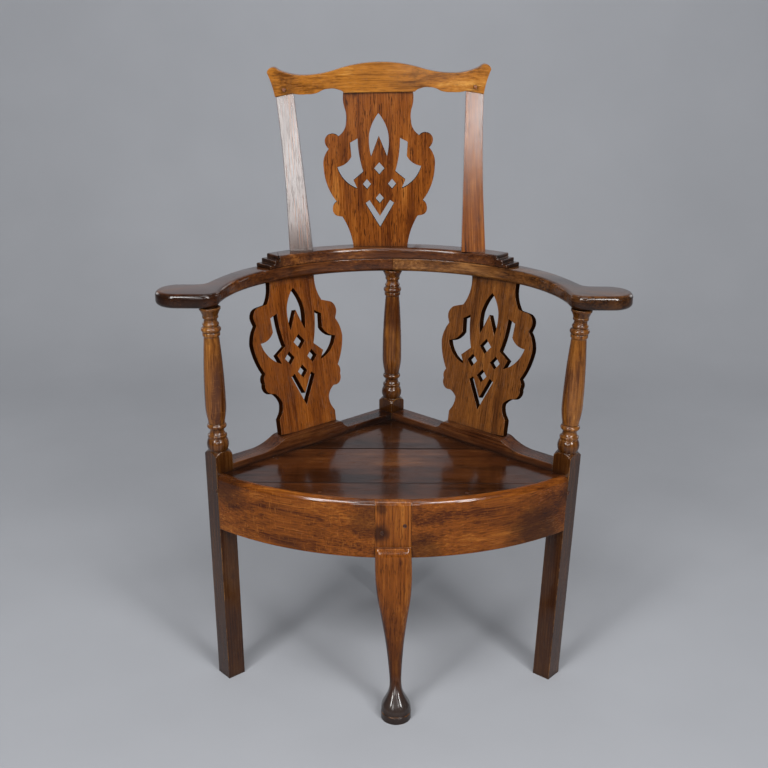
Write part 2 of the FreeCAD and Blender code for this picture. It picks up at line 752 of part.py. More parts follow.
# Seat boards: a wedge between the rear rails, rounded in front, sawn into three
wedge_tip = rear_y - (S.rail_thickness / 2 + S.fit) * rail_run / S.side_post_span
wedge_depth = size(600)
wedge_half = wedge_depth * S.side_post_span / S.rear_post_reach
field = new_body("seat_field_wedge")
corners = new_sketch(field, "XY_Plane", "seat_field_corners", S.seat_top - S.board_thickness)
wedge_back = wedge_tip - wedge_depth
draw(corners, ((0, wedge_tip), (-wedge_half, wedge_back), (wedge_half, wedge_back)))
pad(field, corners, S.board_thickness, "seat_field_pad")
round_front = rod("seat_round_front", placed(0, bow_y, S.seat_top - S.board_thickness - 10),
                  field_radius, 60)
notches = []
for side, sign in SIDES:
    lean = turned(V(0, 1, 0), sign * splay[side].value)
    face = turned(V(0, 0, 1), sign * -S.side_post_turn.value)
    spot = placed(sign * S.side_post_span, side_y, S.seat_top, lean.multiply(face))
    notch = S.post_side + 2 * S.fit
    notches.append(box(side + "_board_notch", spot, notch, notch, 80))
notch = S.post_side + 2 * S.fit
notches.append(box("rear_board_notch", placed(0, rear_y, S.seat_top, rear_place.Rotation), notch, notch, 80))
seat_field = common("seat_field", [field, round_front])
kerf = S.board_gap
strips = (
    ("front", front_y - 40, side_y - S.front_joint - kerf / 2),
    ("middle", side_y - S.front_joint + kerf / 2, side_y + S.rear_joint - kerf / 2),
    ("rear", side_y + S.rear_joint + kerf / 2, rear_y + 40),
)

# Cleats under the boards, along the rear rails
cleats = []
cleat_length = rail_run - 150
cleat_offset = S.rail_thickness / 2 + S.cleat_side / 2 + S.fit / 2
cleat_z = S.seat_top - S.board_thickness - S.cleat_side / 2
for side, sign in SIDES:
    frame = rail_frame(side, cleat_z, -20).multiply(placed(0, -outward(side) * cleat_offset, 0))
    cleats.append((side, box(side + "_cleat_bar", frame, cleat_length, S.cleat_side, S.cleat_side)))

# Pegs that hold the boards down on the cleats and on the front rails' rebate
seat_pegs = []
seat_holes = []
peg_spots = []
for side, sign in SIDES:
    for shift in (-105, 45):
        frame = rail_frame(side, S.seat_top + 0.3, shift)
        spot = frame.multVec(V(0, -outward(side) * cleat_offset.value, 0))
        peg_spots.append((side, "cleat_%d" % (shift > 0), spot))
    x = 130
    y = bow_drop(size(x), field_radius - 9)
    peg_spots.append((side, "rebate", V(sign * x, y.value, S.seat_top.value + 0.3)))
down = turned(V(1, 0, 0), 180)
for side, where, spot in peg_spots:
    peg, hole = peg_pair("%s_seat_%s" % (side, where), FreeCAD.Placement(spot, down), S.board_thickness + 12)
    seat_pegs.append(peg)
    seat_holes.append(hole)
for name, near, far in strips:
    depth = far - near
    strip = box("seat_strip_" + name, placed(0, near + depth / 2, S.seat_top), 1000, depth, 60)
    board = common("seat_board_%s_blank" % name, [seat_field, strip])
    keep(cut("seat_board_" + name, board, notches + seat_holes), "seat_board_" + name)
for side, bar in cleats:
    keep(cut(side + "_cleat", bar, seat_holes), "cleat_" + side)
for side, sign in SIDES:
    rail = [node for node in NODES if node.Label == "front_rail_" + side][0]
    NODES.remove(rail)
    rail.Label = side + "_front_rail_unpegged"
    keep(cut(side + "_front_rail_bored", rail, seat_holes), "front_rail_" + side)
keep(group("seat_peg_group", seat_pegs), "seat_pegs")


# Pierced splats
def splat_pattern(datum, dart, spread, growth, stretch):
    """The cut-out pattern of one splat, its heights following the room for the splat.

    datum is the height of the middle of the top diamond, and dart the depth below it.
    spread widens the pattern, and growth enlarges its diamonds.
    """
    def raised(corner):
        return (corner[0], (datum + corner[1]) * stretch) + tuple(corner[2:])

    return SimpleNamespace(dart=dart, spread=spread, growth=growth, stretch=stretch, raised=raised)


def splat_piercings(sketch, pattern):
    flame = (
        (0, 105, 84), (-18.5, 66, 112), (-15.5, 23), (0, 62), (15.5, 23, 112), (18.5, 66, 84),
    )
    crescent = (
        (56, 50), (41, 58, -220), (31, -6), (50.5, -22), (43, -39, 62), (82, 4, -36), (54, 23),
    )
    deep = -pattern.dart
    chevron = ((-28.5, -67), (0, deep), (28.5, -67), (20, -61), (0, deep + 23), (-20, -61))
    diamonds = ((0, 0, 10.5, 12), (24.5, -30, 8.5, 10), (-24.5, -30, 8.5, 10), (0, -58, 8.5, 10))

    def widened(corner):
        return pattern.raised((corner[0] * pattern.spread,) + corner[1:])

    draw(sketch, [widened(corner) for corner in flame])
    for mirror in (1, -1):
        draw(sketch, [widened(corner) for corner in crescent], mirror)
    draw(sketch, [pattern.raised(corner) for corner in chevron])
    for x, y, half, tall in diamonds:
        x = x * pattern.spread
        half = half + pattern.growth
        tall = tall + pattern.growth
        rhombus = ((x, y + tall), (x - half, y), (x, y - tall), (x + half, y))
        draw(sketch, [pattern.raised(corner) for corner in rhombus])


def both_sides(right_half, flat_head=True):
    """A closed outline from its right half, listed from the foot to the head."""
    left_half = []
    for index in range(len(right_half) - 1, -1, -1):
        x, y = right_half[index][:2]
        edge = right_half[index - 1] if index else ()
        left_half.append((-size(x), y) + tuple(edge[2:]))
    if flat_head:
        return list(right_half[:-1]) + [right_half[-1][:2]] + left_half
    return list(right_half[:-1]) + left_half


def upper_splat_outline(foot, head, pattern):
    """Waisted foot, small lobe, wide bulge and a round knob under the square head."""
    bulge = S.upper_bulge_half
    neck = S.upper_head_half - 4
    shoulder = (
        (bulge - 34, -92.5),
        (bulge - 25, -91, 13),
        (bulge - 15.5, -78, 15),
        (bulge - 24, -63, 110),
        (bulge, 3, 42),
        (bulge - 11, 39, 20),
        (bulge - 3.5, 53, 13),
        (bulge - 15, 67, 14),
        (bulge - 29.5, 62, -34),
        (neck, 90, -60),
        (neck + 1, 112, 60),
    )
    foot_end = ((S.upper_foot_half - 1, foot), (S.upper_foot_half, 0, -140))
    head_end = ((S.upper_head_half, head - 8), (S.upper_head_half, head))
    return both_sides(foot_end + tuple(pattern.raised(corner) for corner in shoulder) + head_end)


def lower_splat_outline(foot, head, pattern):
    """Flared foot, cove, lobe, wide bulge and a broad ear under the head."""
    bulge = S.lower_bulge_half
    shoulder = (
        (bulge - 36, -94),
        (bulge - 31, -94, 16),
        (bulge - 17, -73, 16),
        (bulge - 20, -54, 130),
        (bulge, 2, 62),
        (bulge - 13, 38),
        (bulge - 9, 48, 19),
        (bulge - 24, 73),
        (bulge - 42, 77, -70),
    )
    foot_end = (
        (S.lower_foot_half, foot),
        (S.lower_foot_half, 32 * pattern.stretch),
        (S.lower_foot_half - 4, 38 * pattern.stretch, -34),
        (S.lower_foot_half - 11, 62 * pattern.stretch, -34),
    )
    head_end = ((S.lower_head_half, head),)
    return both_sides(foot_end + tuple(pattern.raised(corner) for corner in shoulder) + head_end)


def splat_blank(name, placement, outline, pattern):
    body = new_body(name, placement)
    face = new_sketch(body, "XZ_Plane", name + "_face", -S.splat_thickness / 2)
    draw(face, outline)
    pad(body, face, S.splat_thickness, name + "_board")
    holes = new_sketch(body, "XZ_Plane", name + "_holes", -S.splat_thickness)
    splat_piercings(holes, pattern)
    pocket(body, holes, 2 * S.splat_thickness, name + "_piercing", reverse=True)
    return body


over_arms = box("over_arm_underside", placed(0, 0, S.arm_underside + 100), 1200, 1200, 200)
arm_mortises = {"left": [], "right": []}
for side, sign in SIDES:
    frame = splat_frame(side)
    slope = cosine(S.splat_lean) * cosine(S.splat_tilt)
    rise = (S.arm_underside - S.seat_top - S.splat_start) / slope
    datum = S.left_pierce if side == "left" else S.right_pierce
    pattern = splat_pattern(datum, S.lower_dart, S.lower_spread, S.lower_growth, rise / S.lower_drawn)
    outline = lower_splat_outline(size(2), rise + 14, pattern)
    blank = splat_blank(side + "_splat_blank", frame, outline, pattern)
    shoe_top = rail_frame(side, S.seat_top + S.shoe_high - 20)
    under_shoe = box(side + "_under_shoe_top", shoe_top, 400, 80, 40)
    trimmed = cut(side + "_splat_trimmed", blank, [over_arms, under_shoe])
    into_arm = frame.multiply(placed(0, 0, rise))
    head, head_slot = tenon_pair(side + "_splat_head", into_arm, 2 * tongue_half, S.splat_thickness - 3,
                                 2 * S.tongue_depth)
    arm_mortises[side].append(head_slot)
    keep(fuse(side + "_lower_splat", [trimmed, splat_feet[side], head]), "splat_lower_" + side)


# Arms: a flat curved band that widens into a rounded pad
def circle_y(x, radius):
    return arc_y + root(radius * radius - x * x)


front_edge = side_y - S.pad_front
back_edge = side_y + S.pad_back
pad_radius = (S.pad_front + S.pad_back) / 2
# The inner edge leaves the arms' circle on a tighter arc, then rounds the front corner
arm_turn = S.crest_left_angle + S.arm_turn_lead
turn_x = arm_inner * sine(arm_turn)
turn_y = arc_y + arm_inner * cosine(arm_turn)
corner_y = side_y + S.arm_turn_back
corner_x = S.side_post_span - S.arm_turn_inset
run_x = corner_x - turn_x
run_y = corner_y - turn_y
run_square = run_x * run_x + run_y * run_y
swing = run_x * sine(arm_turn) + run_y * cosine(arm_turn)
turn_radius = run_square / (-2 * swing)
head_along = run_x * cosine(arm_turn) - run_y * sine(arm_turn)
corner_heading = 2 * head_along * run_x / run_square - cosine(arm_turn)
corner_radius = (corner_y - front_edge) / (1 - corner_heading)
corner_end = corner_x + corner_radius * root(1 - corner_heading * corner_heading)
# A hollow arc joins the back of the pad to the arm's outer edge
hollow_y = back_edge + S.pad_hollow - arc_y
hollow_centre = arm_outer + S.pad_hollow
hollow_x = root(hollow_centre * hollow_centre - hollow_y * hollow_y)
hollow_share = arm_outer / hollow_centre
pad_x = hollow_x + S.pad_run
joint = S.fit / 2


def arm_edges(shape, side, seam):
    """The long edges with their roundings: fine under the block, growing to full beyond it."""
    chosen = []
    fine, full = S.seam_edge.value, S.arm_edge.value
    for number, edge in enumerate(shape.Edges, 1):
        middle = edge.valueAt((edge.FirstParameter + edge.LastParameter) / 2)
        if edge.BoundBox.ZLength > 0.01 or abs(middle.x) < joint.value + 0.5:
            continue
        ahead = middle.y - arc_y.value
        reach = math.hypot(middle.x, ahead)
        angle = math.degrees(math.atan2(abs(middle.x), ahead))
        on_arc = min(abs(reach - arm_inner.value), abs(reach - arm_outer.value)) < 0.3
        if abs(middle.z - arm_top.value) > 0.01 or not on_arc or angle > arm_turn.value:
            ends = (full, full)
        elif angle < seam.value:
            ends = (fine, fine)
        else:
            ends = (fine, full) if side == "left" else (full, fine)
        chosen.append((number,) + ends)
    return chosen


arm_blanks = {}
for side, sign in SIDES:
    body = new_body(side + "_arm_blank")
    plan = new_sketch(body, "XY_Plane", side + "_arm_plan", S.arm_underside)
    seam = S.crest_left_angle if side == "left" else S.crest_right_angle
    draw(plan, (
        (joint, circle_y(joint, arm_outer)),
        (joint, circle_y(joint, arm_inner), -arm_inner),
        (arm_inner * sine(seam), arc_y + arm_inner * cosine(seam), -arm_inner),
        (turn_x, turn_y, -turn_radius),
        (corner_x, corner_y, corner_radius),
        (corner_end, front_edge),
        (pad_x, front_edge, pad_radius),
        (pad_x + pad_radius, front_edge + pad_radius, pad_radius),
        (pad_x, back_edge),
        (hollow_x, back_edge, -S.pad_hollow),
        (hollow_x * hollow_share, arc_y + hollow_y * hollow_share, arm_outer),
        (arm_outer * sine(arm_turn), arc_y + arm_outer * cosine(arm_turn), arm_outer),
        (arm_outer * sine(seam), arc_y + arm_outer * cosine(seam), arm_outer),
    ), sign)
    pad(body, plan, S.arm_thickness, side + "_arm_board")
    doc.recompute()
    eased = doc.addObject("Part::Fillet", side + "_arm_eased")
    eased.Base = body
    eased.Edges = arm_edges(body.Shape, side, seam)
    arm_blanks[side] = eased

# Round mortises for the columns: the same radius and depth with clearance
for side, sign in SIDES:
    frame = posts[side].Placement.multiply(placed(0, 0, column_top - 2))
    socket = rod(side + "_column_socket", frame, S.column_tenon_radius + S.fit, 20.5 + S.fit)
    arm_mortises[side].append(socket)
rear_socket = rod("rear_column_socket", placed(0, rear_y, S.arm_underside - 2),
                  S.column_tenon_radius + S.fit, 20.5 + S.fit)


# Block on top of the arms, with three-step moulded ends
def band_outline(outer, inner, right, left):
    """Part of a ring about the arms' centre, from one end angle to the other."""
    return (
        (outer * sine(right), arc_y + outer * cosine(right), outer),
        (0, arc_y + outer, outer),
        (-outer * sine(left), arc_y + outer * cosine(left)),
        (-inner * sine(left), arc_y + inner * cosine(left), -inner),
        (0, arc_y + inner, -inner),
        (inner * sine(right), arc_y + inner * cosine(right)),
    )


crest = new_body("crest_blank")
tier = S.crest_height / 3
for number in range(3):
    back = S.crest_step * number
    plan = new_sketch(crest, "XY_Plane", "crest_plan_%d" % number, arm_top)
    draw(plan, band_outline(arm_outer, arm_inner, S.crest_right_angle - back, S.crest_left_angle - back))
    pad(crest, plan, tier * (number + 1), "crest_tier_%d" % number)


def crest_front_edge(edge):
    middle = edge.valueAt((edge.FirstParameter + edge.LastParameter) / 2)
    from_centre = math.hypot(middle.x, middle.y - arc_y.value)
    return abs(middle.z - crest_top.value) < 0.01 and abs(from_centre - arm_inner.value) < 0.01


rounded(crest, S.crest_rounding, "crest_front_rounding", crest_front_edge)

# Dowels from the block down into both arms
dowels = []
dowel_holes = []
for side, sign in SIDES:
    for angle in (15, 21.5):
        x = sign * arm_radius.value * math.sin(math.radians(angle))
        y = arc_y.value + arm_radius.value * math.cos(math.radians(angle))
        spot = placed(x, y, arm_top - 14)
        peg, hole = peg_pair("%s_crest_%d" % (side, angle), spot, 28, S.dowel_radius)
        dowels.append(peg)
        dowel_holes.append(hole)
        arm_mortises[side].append(hole)
keep(group("crest_dowel_group", dowels), "crest_dowels")
for side, sign in SIDES:
    keep(cut(side + "_arm", arm_blanks[side], arm_mortises[side] + [rear_socket]), "arm_" + side)

# The high back has racked with age: its stiles lean more than its splat and rail
def back_frame(shift, lean):
    return placed(-shift, 0, crest_top, turned(V(0, 1, 0), -lean.value))


stile_frame = back_frame(S.stile_shift, S.stile_lean)
middle_frame = back_frame(S.splat_shift, S.rail_lean)
rail_frame_above = back_frame(S.rail_shift, S.rail_lean)
underside = S.back_height - S.top_rail_height


def top_rail_outline():
    """Front view of the top rail: arched middle, dips, ears, and a scalloped lower edge."""
    top = S.back_height
    low = underside
    ear = S.stile_span + S.ear_overhang
    dip = ear - 70
    slope = 0.303
    arch = 82
    shoulder_drop = arch * slope / 2
    return both_sides((
        (S.upper_head_half + 1, low, -16),
        (ear - 132, low + 6, -30),
        (ear - 115, low + 8, -34),
        (ear - 95, low + 2, 50),
        (ear - 72, low - 1, 70),
        (ear - 46, low + 1),
        (ear - 13, low - 4.5, -180),
        (ear, top - 15, 11),
        (ear - 20, top - 10, -112),
        (dip, top - 21.2, -arch_radius(slope, dip - arch)),
        (arch, top - shoulder_drop, arch_radius(slope, size(arch))),
        (0, top, arch_radius(slope, size(arch))),
    ), flat_head=False)


def arch_radius(slope, run):
    """Radius of an arc that turns through the slope over that run."""
    return run / math.sin(slope)


rail_face = new_body("top_rail_face", rail_frame_above)
view = new_sketch(rail_face, "XZ_Plane", "top_rail_view", -circle_y(size(0), arm_radius) - 60)
draw(view, top_rail_outline())
pad(rail_face, view, size(120), "top_rail_board")
head_y = circle_y(size(0), arm_radius) + underside * tangent(S.splat_rake)
ring_y = head_y - S.top_rail_radius
ring_place = rail_frame_above.multiply(placed(0, ring_y, underside - 20))
ring_outer = rod("top_rail_outer", ring_place, S.top_rail_radius + S.top_rail_thickness / 2, 110)
ring_inner = rod("top_rail_inner", ring_place, S.top_rail_radius - S.top_rail_thickness / 2, 110)
ring = cut("top_rail_ring", ring_outer, [ring_inner])
rail_blank = common("top_rail_blank", [rail_face, ring])

under_crest = box("under_crest_top", placed(0, rear_y, crest_top - 50), 800, 400, 100)
crest_slots = []
rail_slots = []
stile_pegs = []
stile_holes = []
stile_foot_y = circle_y(S.stile_span - S.stile_foot_width / 2, arm_radius)
for side, sign in SIDES:
    raked = placed(0, stile_foot_y, 0, turned(V(1, 0, 0), -S.stile_rake.value))
    frame = stile_frame.multiply(raked)
    body = new_body(side + "_stile_blank", frame)
    face = new_sketch(body, "XZ_Plane", side + "_stile_face", -S.stile_thickness / 2)
    head = underside + 22
    waist = size(95)
    outer_head = S.stile_span + S.stile_flare
    spread = S.stile_flare + 1
    bend = ((head - waist) * (head - waist) + spread * spread) / (2 * spread)
    draw(face, (
        (S.stile_span, -18),
        (S.stile_span - 1, waist, -bend),
        (outer_head, head),
        (outer_head - S.stile_head_width, head),
        (S.stile_span - S.stile_foot_width, -18),
    ), sign)
    pad(body, face, S.stile_thickness, side + "_stile_board")
    trimmed = cut(side + "_stile_trimmed", body, [under_crest, rail_face])
    tongue = 2 * S.tongue_depth
    foot_x = sign * (S.stile_span - S.stile_foot_width / 2)
    foot_lift = -foot_x * tangent(S.stile_lean)
    foot, foot_slot = tenon_pair(side + "_stile_foot", frame.multiply(placed(foot_x, 0, foot_lift)),
                                 S.stile_foot_width - 16, 9, tongue)
    head_x = sign * (outer_head - S.stile_head_width / 2 - 1)
    head_lift = -head_x * tangent(S.stile_lean - S.rail_lean)
    head_rise = underside + head_lift
    head_place = frame.multiply(placed(head_x, 0, head_rise + 2))
    head_tenon, head_slot = tenon_pair(side + "_stile_head", head_place,
                                       S.stile_head_width - 15, 8, tongue + 4)
    crest_slots.append(foot_slot)
    rail_slots.append(head_slot)
    inward = placed(head_x, -S.top_rail_thickness / 2 - 8, head_rise + 9, turned(V(1, 0, 0), -90))
    peg, hole = peg_pair(side + "_stile_head", frame.multiply(inward), S.top_rail_thickness / 2 + 12)
    stile_pegs.append(peg)
    stile_holes.append(hole)
    solid = fuse(side + "_stile_solid", [trimmed, foot, head_tenon])
    keep(cut(side + "_stile", solid, [hole]), "stile_" + side)

splat_y = circle_y(size(0), arm_radius)
upper_frame = middle_frame.multiply(placed(0, splat_y, 0, turned(V(1, 0, 0), -S.splat_rake.value)))
upper_pattern = splat_pattern(S.upper_pierce, S.upper_dart, size(1), size(0), underside / S.upper_drawn)
upper_outline = upper_splat_outline(size(-16), underside + 8, upper_pattern)
upper_blank = splat_blank("upper_splat_blank", upper_frame, upper_outline, upper_pattern)
upper_trimmed = cut("upper_splat_trimmed", upper_blank, [under_crest, rail_face])
upper_tongue = 2 * S.tongue_depth
upper_foot, upper_foot_slot = tenon_pair("upper_splat_foot", upper_frame, 2 * S.upper_foot_half - 24,
                                         S.splat_thickness - 3, upper_tongue)
upper_head, upper_head_slot = tenon_pair("upper_splat_head", upper_frame.multiply(placed(0, 0, underside)),
                                         2 * S.upper_head_half - 24, S.splat_thickness - 3, upper_tongue)
keep(fuse("upper_splat", [upper_trimmed, upper_foot, upper_head]), "splat_upper")
keep(cut("crest", crest, crest_slots + [upper_foot_slot] + dowel_holes), "crest_block")
keep(cut("top_rail", rail_blank, rail_slots + [upper_head_slot] + stile_holes), "top_rail")
keep(group("top_rail_peg_group", stile_pegs), "top_rail_pegs")

# Posts, now that every mortise and peg hole in them is known
for side in ("left", "right", "rear"):
    keep(cut(side + "_post", posts[side], mortises[side] + [below_floor]), side + "_post")
    keep(group(side + "_post_peg_group", pegs[side]), side + "_post_pegs")
keep(group("front_leg_peg_group", pegs["front"]), "front_leg_pegs")

# Checks, then one file for each piece
doc.recompute()
for item in doc.Objects:
    if "Invalid" in item.State or "Error" in item.State:
        raise RuntimeError("%s failed: %s" % (item.Name, item.State))
for node in NODES:
    if node.Shape.isNull() or not node.Shape.isValid():
        raise RuntimeError(node.Label + " has no valid shape")
os.makedirs("parts", exist_ok=True)
whole = FreeCAD.BoundBox()
for node in NODES:
    node.Shape.exportStep(os.path.join("parts", node.Label + ".step"))
    whole.add(node.Shape.optimalBoundingBox(False))
    print("%-20s solids %d volume %.0f" % (node.Label, len(node.Shape.Solids), node.Shape.Volume))
print("pieces", len(NODES), "box", whole)
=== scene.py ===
import math
import bpy
from mathutils import Euler, Matrix, Vector

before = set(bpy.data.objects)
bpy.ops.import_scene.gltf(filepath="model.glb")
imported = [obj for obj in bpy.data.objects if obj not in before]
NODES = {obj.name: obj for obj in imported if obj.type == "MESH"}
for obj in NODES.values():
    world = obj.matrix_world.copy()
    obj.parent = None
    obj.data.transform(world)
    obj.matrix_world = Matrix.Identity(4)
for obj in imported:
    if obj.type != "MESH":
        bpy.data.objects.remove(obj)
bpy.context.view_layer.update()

# Places of the chair that the grain and the stains follow, in metres
SIDE_X = 0.320
SIDE_Y = -0.072
REAR_REACH = 0.290
RAIL_SLOPE = math.atan2(REAR_REACH, SIDE_X)

# Noise scales of the wood across, through and along the grain, per metre
RINGS = (46, 30, 2.0)
STREAKS = (330, 260, 8)
PORES = (1100, 900, 30)
VESSELS = (430, 400, 52)
RAYS = (60, 60, 330)
PATCHES = (9, 9, 4)
STAINS = (24, 24, 15)
RUBBING = (70, 70, 40)
WORM_STRETCH = (1, 1, 0.8)
WORM_HOLES = 150
WORM_PLACES = 26

# Reach of the dark wax and painted shade in hollows and height of the relief in metres, and rays of the
# two shader effects
HOLLOW_SHADE_REACH = 0.022
RELIEF = 0.0005
RAY_SAMPLES = 6


def srgb(red, green, blue):
    """A colour written as it should look on screen, from 0 to 255."""
    channels = []
    for value in (red, green, blue):
        value = value / 255
        channels.append(value / 12.92 if value <= 0.04045 else ((value + 0.055) / 1.055) ** 2.4)
    return (*channels, 1.0)


def darker(colour, share):
    return tuple(channel * share for channel in colour[:3]) + (1,)


class Graph:
    """Short ways to add shader nodes and join them."""

    def __init__(self, tree):
        self.tree = tree
        tree.nodes.clear()

    def feed(self, socket, value):
        if isinstance(value, bpy.types.NodeSocket):
            self.tree.links.new(value, socket)
        else:
            socket.default_value = value

    def node(self, kind, settings=None, **sockets):
        node = self.tree.nodes.new("ShaderNode" + kind)
        for name, value in (settings or {}).items():
            setattr(node, name, value)
        for name, value in sockets.items():
            self.feed(node.inputs[name.replace("_", " ")], value)
        return node

    def math(self, operation, first, second=0.0, third=0.0, clamp=False):
        node = self.node("Math", {"operation": operation, "use_clamp": clamp})
        for socket, value in zip(node.inputs, (first, second, third)):
            self.feed(socket, value)
        return node.outputs[0]

    def times(self, first, second, clamp=False):
        return self.math("MULTIPLY", first, second, clamp=clamp)

    def flip(self, value):
        return self.math("SUBTRACT", 1.0, value)

    def swing(self, value, reach, middle):
        """A number that swings about middle as value goes from 0 to 1."""
        return self.math("MULTIPLY_ADD", self.math("SUBTRACT", value, 0.5), reach, middle)

    def vector(self, operation, first, second):
        node = self.node("VectorMath", {"operation": operation})
        self.feed(node.inputs[0], first)
        self.feed(node.inputs[1], second)
        return node.outputs["Value" if operation == "DOT_PRODUCT" else "Vector"]

    def length(self, vector):
        return self.node("VectorMath", {"operation": "LENGTH"}, Vector=vector).outputs["Value"]

    def part(self, vector, axis):
        return self.node("SeparateXYZ", Vector=vector).outputs[axis]

    def ramp(self, value, low, high):
        """0 below low, 1 above high, smooth between."""
        node = self.node("MapRange", {"interpolation_type": "SMOOTHSTEP"},
                         Value=value, From_Min=low, From_Max=high)
        return node.outputs["Result"]

    def mix(self, share, first, second):
        node = self.node("Mix", {"data_type": "RGBA"})
        self.feed(node.inputs["Factor"], share)
        self.feed(node.inputs[6], first)
        self.feed(node.inputs[7], second)
        return node.outputs[2]

    def noise(self, vector, scale, detail=3.0, roughness=0.55, distortion=0.0):
        node = self.node("TexNoise", {"noise_dimensions": "3D"}, Vector=vector, Scale=scale,
                         Detail=detail, Roughness=roughness, Distortion=distortion)
        return node.outputs["Fac"]


class Oak(Graph):
    """Old waxed oak. body is its colour so far, dull is where its surface takes no polish."""

    def __init__(self, tree, tone, way, shift, rounding):
        super().__init__(tree)
        self.dark, self.middle, self.light = tone
        self.point = self.node("TexCoord").outputs["Object"]
        self.smooth = self.node("Bevel", {"samples": RAY_SAMPLES}, Radius=rounding).outputs["Normal"]
        grain = Vector(way[0]).normalized()
        side = Vector(way[1]).cross(grain).normalized()
        across, through, along = (self.vector("DOT_PRODUCT", self.point, tuple(line))
                                  for line in (side, grain.cross(side), grain))
        place = self.node("CombineXYZ", X=across, Y=through, Z=along).outputs[0]
        self.place = self.vector("ADD", place, (shift, shift * 0.7, shift * 1.9))
        self.stains = self.drawn(STAINS, 5.0, 0.7)
        self.dull = None

    def drawn(self, scale, detail, roughness, distortion=0.0):
        """Noise drawn out along the grain."""
        vector = self.vector("MULTIPLY", self.place, scale)
        return self.noise(vector, 1.0, detail, roughness, distortion)

    def tint(self, share, colour):
        self.body = self.mix(share, self.body, colour)

    def blacken(self, share, left):
        """Mixes in the dark tone, itself darkened to the share left."""
        self.tint(share, darker(self.dark, left))

    def lay_grain(self, figure, fine, mottle, vessels, fleck):
        self.streaks = self.drawn([scale * fine for scale in STREAKS], 3.0, 0.65)
        self.pore = self.ramp(self.drawn(PORES, 2.0, 0.7), 0.58, 0.72)
        line = self.times(self.math("SUBTRACT", self.streaks, 0.5), 0.2 + 0.7 * figure)
        line = self.swing(self.drawn(RINGS, 4.0, 0.6, 0.6), 0.35 + 0.5 * figure, line)
        line = self.swing(self.drawn(PATCHES, 4.0, 0.6), mottle, line)
        line = self.math("ADD", line, 0.57)
        self.body = self.mix(self.ramp(line, 0.40, 0.64), self.dark, self.middle)
        self.tint(self.times(self.ramp(line, 0.60, 0.84), 0.85), self.light)
        self.blacken(self.times(self.pore, 0.5 * figure + 0.15), 0.3)
        self.blacken(self.times(self.ramp(self.stains, 0.55, 0.74), 0.3 + 0.5 * mottle), 0.45)
        dash = self.ramp(self.drawn(VESSELS, 2.0, 0.6), 0.54, 0.68)
        self.blacken(self.times(dash, vessels), 0.45)
        if fleck:
            ray = self.ramp(self.drawn(RAYS, 2.0, 0.5, 1.2), 0.60, 0.68)
            self.tint(self.times(ray, fleck), self.light)

    def cut_sides(self, facing):
        """Dark sawn wood on all sides but those that face along facing."""
        level = self.vector("DOT_PRODUCT", self.smooth, tuple(Vector(facing).normalized()))
        self.dull = self.flip(self.ramp(self.math("ABSOLUTE", level), 0.35, 0.85))
        self.blacken(self.times(self.dull, 0.93), 0.10)

    def darken_below(self, low, high, share):
        height = self.swing(self.stains, 0.10, self.part(self.point, "Z"))
        self.blacken(self.times(self.flip(self.ramp(height, low, high)), share), 0.35)

    def bare_below(self, low, high):
        """Grey wood that has lost its wax."""
        height = self.math("MULTIPLY_ADD", self.stains, 0.03, self.part(self.point, "Z"))
        self.tint(self.times(self.flip(self.ramp(height, low, high)), 0.8), srgb(48, 43, 41))

    def fill_joint(self, joint, strength):
        away = self.math("ABSOLUTE", self.math("SUBTRACT", self.part(self.point, "Y"), joint))
        filled = self.times(self.flip(self.ramp(away, 0.0012, 0.0030)), strength)
        self.blacken(filled, 0.12)
        if self.dull is not None:
            filled = self.math("ADD", self.dull, filled, clamp=True)
        self.dull = filled

    def add_spot(self, centre, radius, share):
        away = self.length(self.vector("SUBTRACT", self.point, centre))
        near = self.flip(self.ramp(self.swing(self.stains, radius * 1.4, away), radius * 0.35, radius))
        self.blacken(self.times(near, share), 0.3)

    def handle_pads(self, share):
        """The upright edges of an arm's pad, black with handling."""
        level = self.math("ABSOLUTE", self.part(self.smooth, "Z"))
        upright = self.flip(self.ramp(level, 0.55, 0.95))
        outwards = self.ramp(self.math("ABSOLUTE", self.part(self.point, "X")), 0.285, 0.345)
        self.blacken(self.times(self.times(upright, outwards), share), 0.35)

    def wear_and_shade(self, wear, wax_and_shade):
        """Worn edges show paler wood; corners, hollows and joints get dark wax and painted shade."""
        flat = self.node("NewGeometry").outputs["Normal"]
        edge = self.ramp(self.flip(self.vector("DOT_PRODUCT", self.smooth, flat)), 0.015, 0.16)
        rub = self.ramp(self.drawn(RUBBING, 4.0, 0.65), 0.42, 0.62)
        self.tint(self.times(self.times(edge, rub), wear), self.light)
        # Painted shade as well as dark wax: the colour darkens where ambient occlusion finds surfaces
        # close by, in corners, grooves and between parts
        open_air = self.node("AmbientOcclusion", {"samples": RAY_SAMPLES}, Distance=HOLLOW_SHADE_REACH)
        hollow_wax_and_shade = self.flip(self.ramp(open_air.outputs["AO"], 0.25, 0.92))
        uneven = self.math("MULTIPLY_ADD", self.stains, 0.9, 0.45)
        self.hollow_wax_and_shade = self.times(hollow_wax_and_shade, uneven, clamp=True)
        self.blacken(self.times(self.hollow_wax_and_shade, wax_and_shade), 0.16)

    def carve_relief(self, worm):
        """Pores and streaks, and worm holes in a few places. Gives the bumped normal."""
        relief = self.math("MULTIPLY_ADD", self.pore, -0.7, self.times(self.streaks, 0.5))
        relief = self.math("MULTIPLY_ADD", self.stains, 0.5, relief)
        if worm:
            cells = self.node("TexVoronoi", {"feature": "F1"}, Scale=WORM_HOLES,
                              Vector=self.vector("MULTIPLY", self.place, WORM_STRETCH))
            hole = self.flip(self.ramp(cells.outputs["Distance"], 0.10, 0.16))
            here = self.ramp(self.noise(self.place, WORM_PLACES, 1.0), 0.60, 0.66)
            hole = self.times(hole, self.times(here, worm))
            self.tint(hole, srgb(12, 7, 4))
            relief = self.math("MULTIPLY_ADD", hole, -3.0, relief)
        bump = self.node("Bump", Strength=0.35, Distance=RELIEF, Height=relief, Normal=self.smooth)
        return bump.outputs[0]

